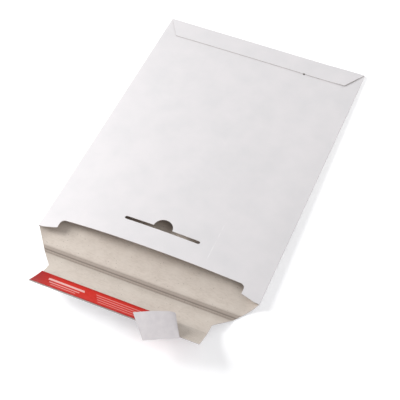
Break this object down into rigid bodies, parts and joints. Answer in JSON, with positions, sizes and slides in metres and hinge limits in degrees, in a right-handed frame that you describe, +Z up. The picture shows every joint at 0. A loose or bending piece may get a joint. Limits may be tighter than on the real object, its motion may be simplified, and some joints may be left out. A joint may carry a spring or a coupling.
{
  "type": "board mailer envelope",
  "caption": "Flat rigid board mailer lying open: arched pocket with a notched mouth and thumb slot, hinged closure flap, adhesive strip, half-peeled release liner.",
  "frame": {"origin": "centre of the back panel's underside, on the plane the mailer lies on", "axes": "+X to the right seen from the mouth, +Y from the mouth to the glued far end, +Z up"},
  "size_m": [0.246, 0.4327, 0.0356],
  "materials": {
    "white_board": "clay-coated white outside of grey solid board",
    "grey_board": "uncoated grey-beige inside of the same board",
    "clear_adhesive": "clear tacky hot-melt film",
    "red_release_paper": "siliconised paper, plain red on top and white underneath"
  },
  "bodies": {
    "pocket": {"pocket": "white_board"},
    "closure_flap": {"closure_flap": "grey_board", "adhesive_strip": "clear_adhesive", "release_liner": "red_release_paper"}
  },
  "joints": [
    {"name": "closure_crease", "type": "hinge", "parent": "pocket", "child": "closure_flap", "pos_m": [0, -0.1932, 0.0007], "axis": [-1, 0, 0], "range_deg": [-22, 131], "deforming": ["release_liner"]}
  ]
}
